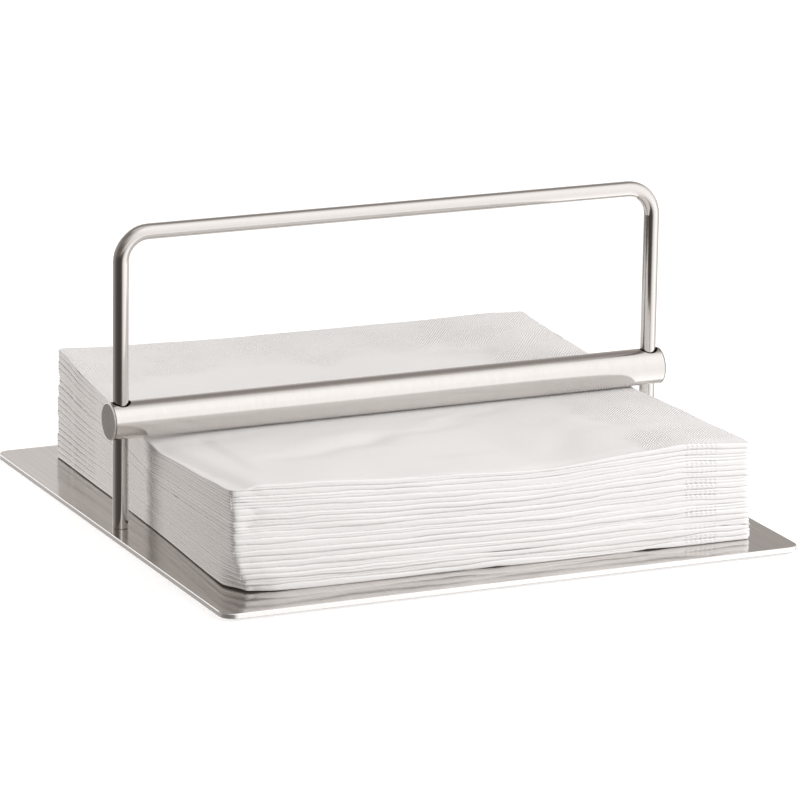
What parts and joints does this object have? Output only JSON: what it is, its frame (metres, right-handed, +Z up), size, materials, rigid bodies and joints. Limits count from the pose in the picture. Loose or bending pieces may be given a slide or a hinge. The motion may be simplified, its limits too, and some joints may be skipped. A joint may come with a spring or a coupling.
{
  "type": "napkin dispenser",
  "caption": "Square steel tray with a bent-rod handle whose legs guide a round weighted bar that rests on a stack of folded paper napkins.",
  "frame": {"origin": "on the table, under the middle of the tray", "axes": "+Z up, +X along the press bar, +Y from the napkins' folded front edge towards the back"},
  "size_m": [0.195, 0.195, 0.0998],
  "materials": {
    "tray_steel": "satin",
    "rod_steel": "satin",
    "bar_steel": "satin",
    "plug_steel": "satin",
    "weight_steel": "matte",
    "screw_steel": "satin",
    "pad_rubber": "matte",
    "napkin_tissue": "matte"
  },
  "bodies": {
    "tray": {"base_plate": "tray_steel", "handle_rod": "rod_steel", "left_handle_screw": "screw_steel", "right_handle_screw": "screw_steel", "front_left_pad": "pad_rubber", "front_right_pad": "pad_rubber", "back_left_pad": "pad_rubber", "back_right_pad": "pad_rubber", "napkin_01": "napkin_tissue", "napkin_02": "napkin_tissue", "napkin_03": "napkin_tissue", "napkin_04": "napkin_tissue", "napkin_05": "napkin_tissue", "napkin_06": "napkin_tissue", "napkin_07": "napkin_tissue", "napkin_08": "napkin_tissue", "napkin_09": "napkin_tissue", "napkin_10": "napkin_tissue", "napkin_11": "napkin_tissue", "napkin_12": "napkin_tissue", "napkin_13": "napkin_tissue", "napkin_14": "napkin_tissue", "napkin_15": "napkin_tissue", "napkin_16": "napkin_tissue", "napkin_17": "napkin_tissue", "napkin_18": "napkin_tissue"},
    "press_bar": {"press_tube": "bar_steel", "left_end_plug": "plug_steel", "right_end_plug": "plug_steel", "bar_weight": "weight_steel"}
  },
  "joints": [
    {"name": "bar_slide", "type": "slide", "parent": "tray", "child": "press_bar", "axis": [0, 0, 1], "range_m": [0, 0.044]}
  ]
}
